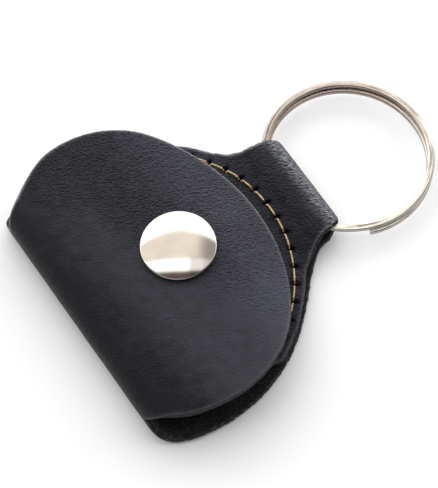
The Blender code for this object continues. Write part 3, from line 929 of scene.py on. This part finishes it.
def key_ring():
    """A flat wire wound nearly twice round, with one step and two blunt ends. Its flat
    coordinates are the lengths along and round the wire, and how much a point faces sideways."""
    section = wire_section()
    around = len(section)
    steps = 420
    rings, flats = [], []
    for i in range(steps + 1):
        turned_by = (RING_END - RING_START) * i / steps
        degrees = RING_START + turned_by
        a = math.radians(degrees)
        share = smooth((degrees - RING_STEP[0]) / (RING_STEP[1] - RING_STEP[0]))
        z0 = RING_Z + COIL_LEVEL * (2 * share - 1)
        small = 1 - 0.12 * max(0, 2 - min(i, steps - i)) / 2
        wobble = 0.035 * math.sin(a * 1.5 + 0.6) + coil_shift(degrees)
        ring = []
        for j, (r, z, side) in enumerate(section):
            radius = RING_R - WIRE_HALF_WIDTH + r * small + wobble
            ring.append((RING_CX + radius * math.cos(a), RING_CY + radius * math.sin(a), z0 + z * small))
            flats.append((RING_R * math.radians(turned_by), 3.6 * min(j, around - j) / around, side))
        rings.append(ring)
    verts, faces = swept(rings)
    obj = mesh_object("key_ring", verts, faces, wire_material(), math.radians(50))
    flat = obj.data.attributes.new("flat", "FLOAT_VECTOR", "POINT")
    for value, numbers in zip(flat.data, flats):
        value.vector = numbers
    return obj


# assembly -----------------------------------------------------------------------------------

grain = grain_material()
cut_edge = edge_material()
suede = suede_material()
LEATHERS = (grain, cut_edge, suede)

EDGE_PROFILE = [
    (0.8, 0.0), (0.45, 0.012), (0.22, 0.06), (0.07, 0.16), (0.0, 0.3), (0.03, 0.45),
    (0.0, 0.62), (0.03, 0.82), (0.12, 0.94), (0.35, 1.0),
]


def spaced(low, high, step):
    count = max(1, round((high - low) / step))
    return [low + (high - low) * i / count for i in range(count + 1)]


# Painted shadow in a needle hole: how dark a point by the hole is painted.
def hole_shade(x, y):
    along, across = hole_distance(x, y)
    return min(1.0, 1.6 * bell(math.hypot(along / 0.4, (across - 0.3) / 0.7)))


def strip_painted_light(s, y):
    """Painted light: lighter at the flap's tip as a painted highlight, darkest round the fold and a little
    darker towards -Y as painted shade.
    """
    tip_highlight = 1.1 - 0.76 * smooth(s / 17)
    return tip_highlight * (1 - smooth((s - 22 - 0.1 * y) / 11))


def strip_relief(s, y):
    """The grain stands up at the tip and is pressed smooth at the fold."""
    return 0.12 + 1.38 * smooth((44 + y - 2 * s) / 36)


# Painted shade: the loop and the pocket panel are held at a dark tone, the pocket panel a little lighter
# than the loop.
def loop_painted_shade(s, _):
    return 0.25 + 0.15 * smooth((s - POCKET_S) / 3)


def back_hole_shadow(s, y):
    return hole_shade(s - BACK_S + FOLD_CX, y) if s > BACK_S else 0.0


def loop_scuffs_and_sheen(s, _):
    """Worn where the loop turns over the ring; the same band carries a painted sheen."""
    top = LOOP_CX - NECK_X + LOOP_TURN
    return bell((s - top + 1.35) / 1.3)


def pocket_hole_shadow(s, y):
    return hole_shade(follow(LOOP, s)[0], y) if s > LOOP_TURN else 0.0


# The tone amounts are painted light and shade, the wear amount carries a painted sheen, and the amounts
# for the needle holes are painted shadow.
STRIP_AMOUNTS = {"wear": lambda s, y: 0.0, "hole_shadow": back_hole_shadow, "tone": strip_painted_light, "relief": strip_relief}
LOOP_AMOUNTS = {"wear": loop_scuffs_and_sheen, "hole_shadow": pocket_hole_shadow, "tone": loop_painted_shade, "relief": lambda s, y: 0.5}


def leather_strip():
    """The flap, the fold and the back, in three meshes that meet inside the fold."""
    clean = FLAP_LENGTH + FOLD_LENGTH / 2
    bm = flat_solid(
        strip_outline(), LEATHER, EDGE_PROFILE, lambda s: 0.05 + 0.15 * smooth((s - clean) / 6)
    )
    low = FLAP_LENGTH + FOLD_LENGTH / 3
    high = FLAP_LENGTH + 2 * FOLD_LENGTH / 3
    lengths = spaced(1, FLAP_LENGTH - 1, 1.1) + spaced(FLAP_LENGTH, BACK_S, 0.36)
    lengths += spaced(BACK_S + 1, BACK_S + BACK_LENGTH - 0.6, 1.1)
    lengths += [value + shift for value in (low, high) for shift in (-0.03, 0.03)]
    lengths += [BACK_S + BACK_LENGTH - 0.03]
    slice_at(bm, lengths, spaced(-26.4, 26.4, 1.1))

    def near_seam(p):
        return p.x > BACK_S and seam_distance(p.x - BACK_S + FOLD_CX, p.y)[0] < 1.1

    refine(bm, near_seam, 2)
    pieces = []
    spans = (("leather_back", high, None), ("leather_bend", low, high), ("leather_flap", None, low))
    for name, a, b in spans:
        part = keep_between(bm, a, b)
        pieces.append(sheet_object(name, part, place_strip, LEATHERS, STRIP_AMOUNTS))
    bm.free()
    return pieces


def leather_loop():
    bm = flat_solid(loop_outline(), LEATHER, EDGE_PROFILE, lambda s: 0.18)
    end = pocket_s(MOUTH_X)
    bend = LOOP_CX - NECK_X
    lengths = [0.03] + spaced(0.7, bend, 0.8) + spaced(bend + 0.4, POCKET_S, 0.36)
    lengths += spaced(POCKET_S + 0.8, end - 1, 0.9)
    slice_at(bm, lengths, spaced(-24.3, 24.3, 0.9))

    def near_seam(p):
        return p.x > LOOP_TURN and seam_distance(follow(LOOP, p.x)[0], p.y)[0] < 1.2

    refine(bm, near_seam, 2)
    return sheet_object("leather_pocket", bm, place_loop, LEATHERS, LOOP_AMOUNTS)


back_piece, bend_piece, flap_piece = leather_strip()
pocket_piece = leather_loop()
# Each piece with its angle round the fold from the flap, as in the CAD, and the bodies before and after
# it; only the piece's transform is baked.
for turn, piece, near, far in (
    (150, back_piece, "bend_low", "holder"),
    (90, bend_piece, "bend_high", "bend_low"),
    (30, flap_piece, "flap", "bend_high"),
):
    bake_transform(piece)
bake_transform(pocket_piece)
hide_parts("back_panel", "fold_at_back")
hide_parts("fold_low", "fold_high")
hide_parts("fold_at_flap", "flap_panel")
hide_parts("pocket_panel", "key_loop")

gold = thread_material()
top_stitches = stitch_mesh("pocket_stitches", lambda x, y: POCKET_TOP + pocket_dip(x, y), 1, gold)
low_stitches = stitch_mesh("back_stitches", lambda x, y: BACK_STITCH_Z, -1, gold)
for piece, node in ((top_stitches, "pocket_thread"), (low_stitches, "back_thread")):
    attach(piece, "holder")
    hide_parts(node)

nickel = metal_material("polished_nickel", (0.80, 0.755, 0.70, 1), 0.08, 0.14)
plain_nickel = metal_material("nickel_plate", (0.74, 0.71, 0.66, 1), 0.2, 0.34)
steel = metal_material("plated_steel", (0.62, 0.61, 0.59, 1), 0.28, 0.42)
for piece, body, node, slot in (
    (cap_dome(nickel), "flap", "snap_cap", "nickel_cap"),
    (cap_shank(steel), "flap", "cap_post", "snap_steel"),
    (socket_cup(plain_nickel), "flap", "snap_socket", "nickel_snap"),
    (spring_wire(steel), "flap", "socket_spring", "snap_steel"),
    (stud_head(plain_nickel), "holder", "snap_stud", "nickel_snap"),
    (stud_rivet(steel), "holder", "stud_post", "snap_steel"),
):
    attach(piece, body)
    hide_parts(node)

ring_piece = key_ring()
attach(ring_piece, "ring")
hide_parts("split_ring")


# stage, light and camera --------------------------------------------------------------------


def floor():
    size = 1.2
    mesh = bpy.data.meshes.new("floor")
    corners = [(-size, -size, 0), (size, -size, 0), (size, size, 0), (-size, size, 0)]
    mesh.from_pydata(corners, [], [(0, 1, 2, 3)])
    g = Graph("white_paper", Roughness=0.9, Specular_IOR_Level=0.1)
    tone = g.blend(g.noise(g.place(), 4.0, 2), (0.925, 0.935, 0.96, 1), (0.945, 0.955, 0.98, 1))
    mesh.materials.append(g.set(Base_Color=tone))
    obj = bpy.data.objects.new("floor", mesh)
    obj.location = (0, 0, -0.0001)
    bpy.context.scene.collection.objects.link(obj)


floor()

CAMERA_AZIMUTH = math.radians(-33.4)
CAMERA_ELEVATION = math.radians(62.9)
CAMERA_ROLL = math.radians(-2.06)
CAMERA_DISTANCE = 0.1964
LOOK_AT = Vector((-0.00698, -0.00035, 0))


def camera():
    data = bpy.data.cameras.new("camera")
    data.lens = 86.06
    data.sensor_width = 36
    data.clip_start = 0.001
    obj = bpy.data.objects.new("camera", data)
    a, e = CAMERA_AZIMUTH, CAMERA_ELEVATION
    back = Vector((math.sin(a) * math.cos(e), -math.cos(a) * math.cos(e), math.sin(e)))
    right = Vector((math.cos(a), math.sin(a), 0))
    up = back.cross(right)
    right, up = (
        right * math.cos(CAMERA_ROLL) + up * math.sin(CAMERA_ROLL),
        up * math.cos(CAMERA_ROLL) - right * math.sin(CAMERA_ROLL),
    )
    place = LOOK_AT + back * CAMERA_DISTANCE
    rows = [(right[i], up[i], back[i], place[i]) for i in range(3)]
    obj.matrix_world = Matrix([*rows, (0, 0, 0, 1)])
    bpy.context.scene.collection.objects.link(obj)
    bpy.context.scene.camera = obj


def world():
    """A pale studio: white walls, a warm ceiling, and a darker side behind the camera."""
    scene_world = bpy.data.worlds.new("studio")
    bpy.context.scene.world = scene_world
    scene_world.use_nodes = True
    nodes, links = scene_world.node_tree.nodes, scene_world.node_tree.links

    def add(kind, operation, *inputs):
        node = nodes.new(kind)
        if operation:
            node.operation = operation
        for key, value in enumerate(inputs):
            if isinstance(value, bpy.types.NodeSocket):
                links.new(value, node.inputs[key])
            else:
                node.inputs[key].default_value = value
        return node

    def rise(value, low, high, most):
        node = add("ShaderNodeMapRange", None, value, low, high, 0.0, most)
        node.interpolation_type = "SMOOTHSTEP"
        return node.outputs[0]

    def calc(operation, one, other):
        return add("ShaderNodeMath", operation, one, other).outputs[0]

    def towards(x, y):
        return add("ShaderNodeVectorMath", "DOT_PRODUCT", around, (x, y, 0)).outputs["Value"]

    a = CAMERA_AZIMUTH
    around = nodes.new("ShaderNodeTexCoord").outputs["Generated"]
    far = towards(-math.sin(a), math.cos(a))
    side = towards(math.cos(a), math.sin(a))
    height = nodes.new("ShaderNodeSeparateXYZ")
    links.new(around, height.inputs[0])
    share = calc("DIVIDE", calc("ARCTAN2", height.outputs["Z"], far), math.pi)
    ramp = add("ShaderNodeValToRGB", None, share)
    # Colours from the horizon ahead (0) over the zenith (0.5) to the horizon behind the camera.
    wall, window = (2.1, 2.1, 2.1), (2.0, 2.0, 2.0)
    stops = [
        (0.0, (1.4, 1.4, 1.4)), (0.2, wall), (0.252, wall), (0.295, (1.13, 1.05, 0.94)),
        (0.465, (1.13, 1.05, 0.92)), (0.487, window), (0.565, window), (0.59, (0.12, 0.07, 0.06)),
        (0.75, (0.2, 0.2, 0.22)), (1.0, (0.6, 0.6, 0.6)),
    ]
    elements = ramp.color_ramp.elements
    elements.remove(elements[1])
    elements[0].position, elements[0].color = stops[0][0], (*stops[0][1], 1)
    for position, colour in stops[1:]:
        stop = elements.new(position)
        stop.color = (*colour, 1)
    right_side = calc("MULTIPLY", rise(side, 0.22, 0.6, 0.6), rise(share, 0.25, 0.3, 1.0))
    past_window = calc("MULTIPLY", rise(side, 0.17, 0.23, 0.42), rise(share, 0.455, 0.48, 1.0))
    left = calc("SUBTRACT", 1.0, calc("MAXIMUM", right_side, past_window))
    light = add("ShaderNodeVectorMath", "SCALE", ramp.outputs[0])
    links.new(left, light.inputs["Scale"])
    background = nodes["Background"]
    links.new(light.outputs["Vector"], background.inputs["Color"])
    background.inputs["Strength"].default_value = 0.92


def area(name, place, size, power):
    """A soft light that shines on the origin and isn't mirrored in the metal."""
    data = bpy.data.lights.new(name, "AREA")
    data.shape = "RECTANGLE"
    data.size, data.size_y = size
    data.energy = power
    obj = bpy.data.objects.new(name, data)
    obj.visible_glossy = False
    obj.location = place
    obj.rotation_euler = (-Vector(place)).to_track_quat("-Z", "Y").to_euler()
    bpy.context.scene.collection.objects.link(obj)


camera()
world()
area("key", (0.0, 0.38, 0.58), (0.9, 0.7), 1.75)
area("fill", (0.48, -0.08, 0.28), (0.6, 0.5), 1.1)
bpy.context.scene.view_settings.view_transform = "Standard"
